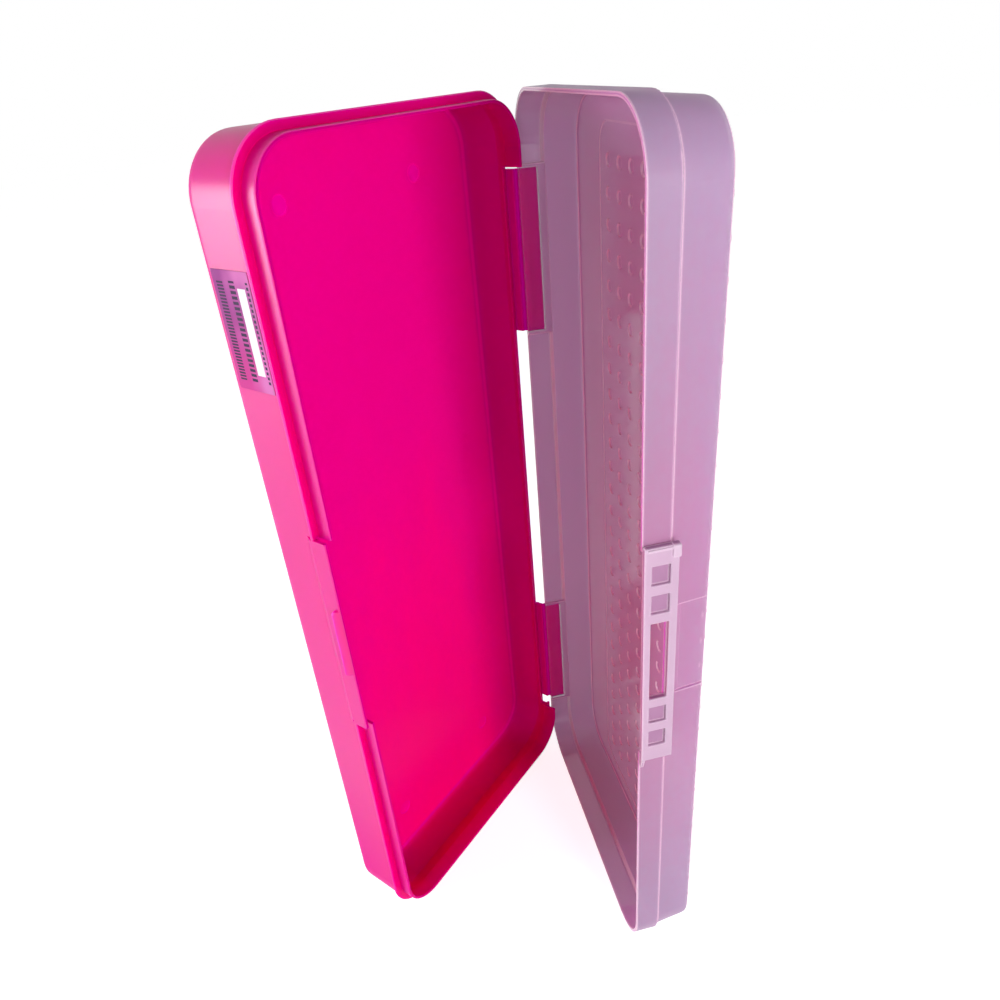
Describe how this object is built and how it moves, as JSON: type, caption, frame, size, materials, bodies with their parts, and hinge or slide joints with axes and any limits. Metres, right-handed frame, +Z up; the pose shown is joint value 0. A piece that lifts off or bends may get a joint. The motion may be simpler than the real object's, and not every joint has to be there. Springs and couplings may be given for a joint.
{
  "type": "pencil box",
  "caption": "Long plastic pencil box of two shallow halves, hinged on folding flaps, with a flexing window clasp that snaps over a catch.",
  "frame": {"origin": "middle of the foot of the object's box, as it stands on its lower end with the lid part open", "axes": "+Z up along the length, +X from the back of the tray towards the lid, +Y from the latch side towards the hinge"},
  "size_m": [0.1368, 0.1514, 0.335],
  "materials": {
    "pink_polypropylene": "frosted translucent polypropylene, hot pink",
    "clear_polypropylene": "frosted clear polypropylene",
    "printed_film": "glossy printed label film"
  },
  "bodies": {
    "tray": {"base_tray": "pink_polypropylene", "label": "printed_film"},
    "lid": {"lid_shell": "clear_polypropylene", "hinge_leaf_upper": "pink_polypropylene", "hinge_leaf_lower": "pink_polypropylene"},
    "clasp": {"latch_clasp": "clear_polypropylene"}
  },
  "joints": [
    {"name": "lid_hinge", "type": "hinge", "parent": "tray", "child": "lid", "pos_m": [-0.04429, 0.06017, 0.1675], "axis": [0, 0, 1], "range_deg": [-47.5, 132.5]},
    {"name": "latch_flex", "type": "hinge", "parent": "lid", "child": "clasp", "pos_m": [0.06076, -0.02375, 0.1675], "axis": [0, 0, 1], "range_deg": [0, 12], "stiffness_Nm_per_rad": 0.3}
  ]
}
